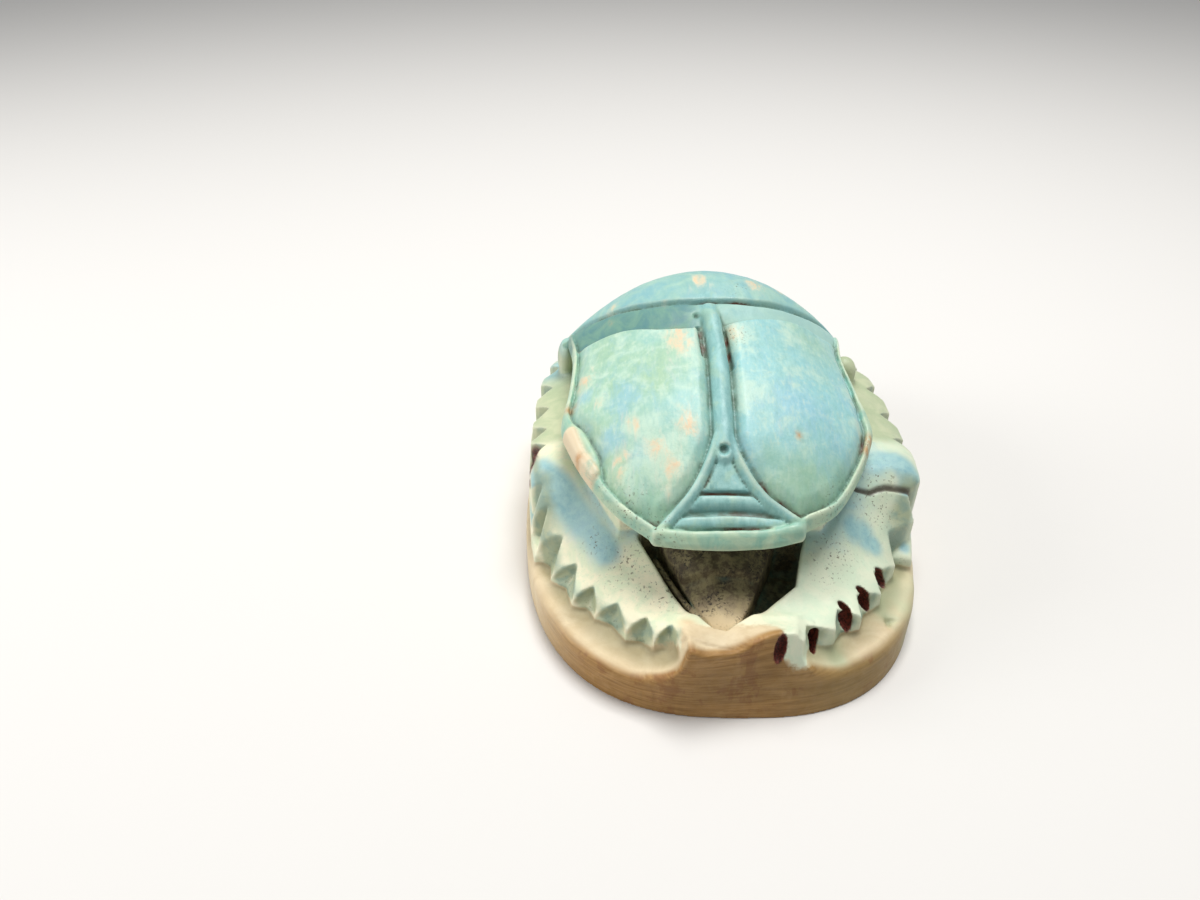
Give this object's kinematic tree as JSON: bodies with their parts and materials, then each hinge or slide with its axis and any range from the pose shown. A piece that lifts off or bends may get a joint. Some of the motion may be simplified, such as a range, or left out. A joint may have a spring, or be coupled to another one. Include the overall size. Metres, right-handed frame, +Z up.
{
  "type": "scarab amulet",
  "caption": "Carved beetle amulet on a flat oval base, with ribbed wing cases, folded serrated legs and a glazed turquoise surface.",
  "frame": {"origin": "centre of the flat underside", "axes": "+Y towards the beetle's head, +X to its right, +Z up through its back"},
  "size_m": [0.042, 0.0596, 0.0256],
  "materials": {
    "turquoise_glaze": "worn satin turquoise glaze over a cream stone"
  },
  "bodies": {
    "root": {"scarab_amulet": "turquoise_glaze"}
  },
  "joints": []
}
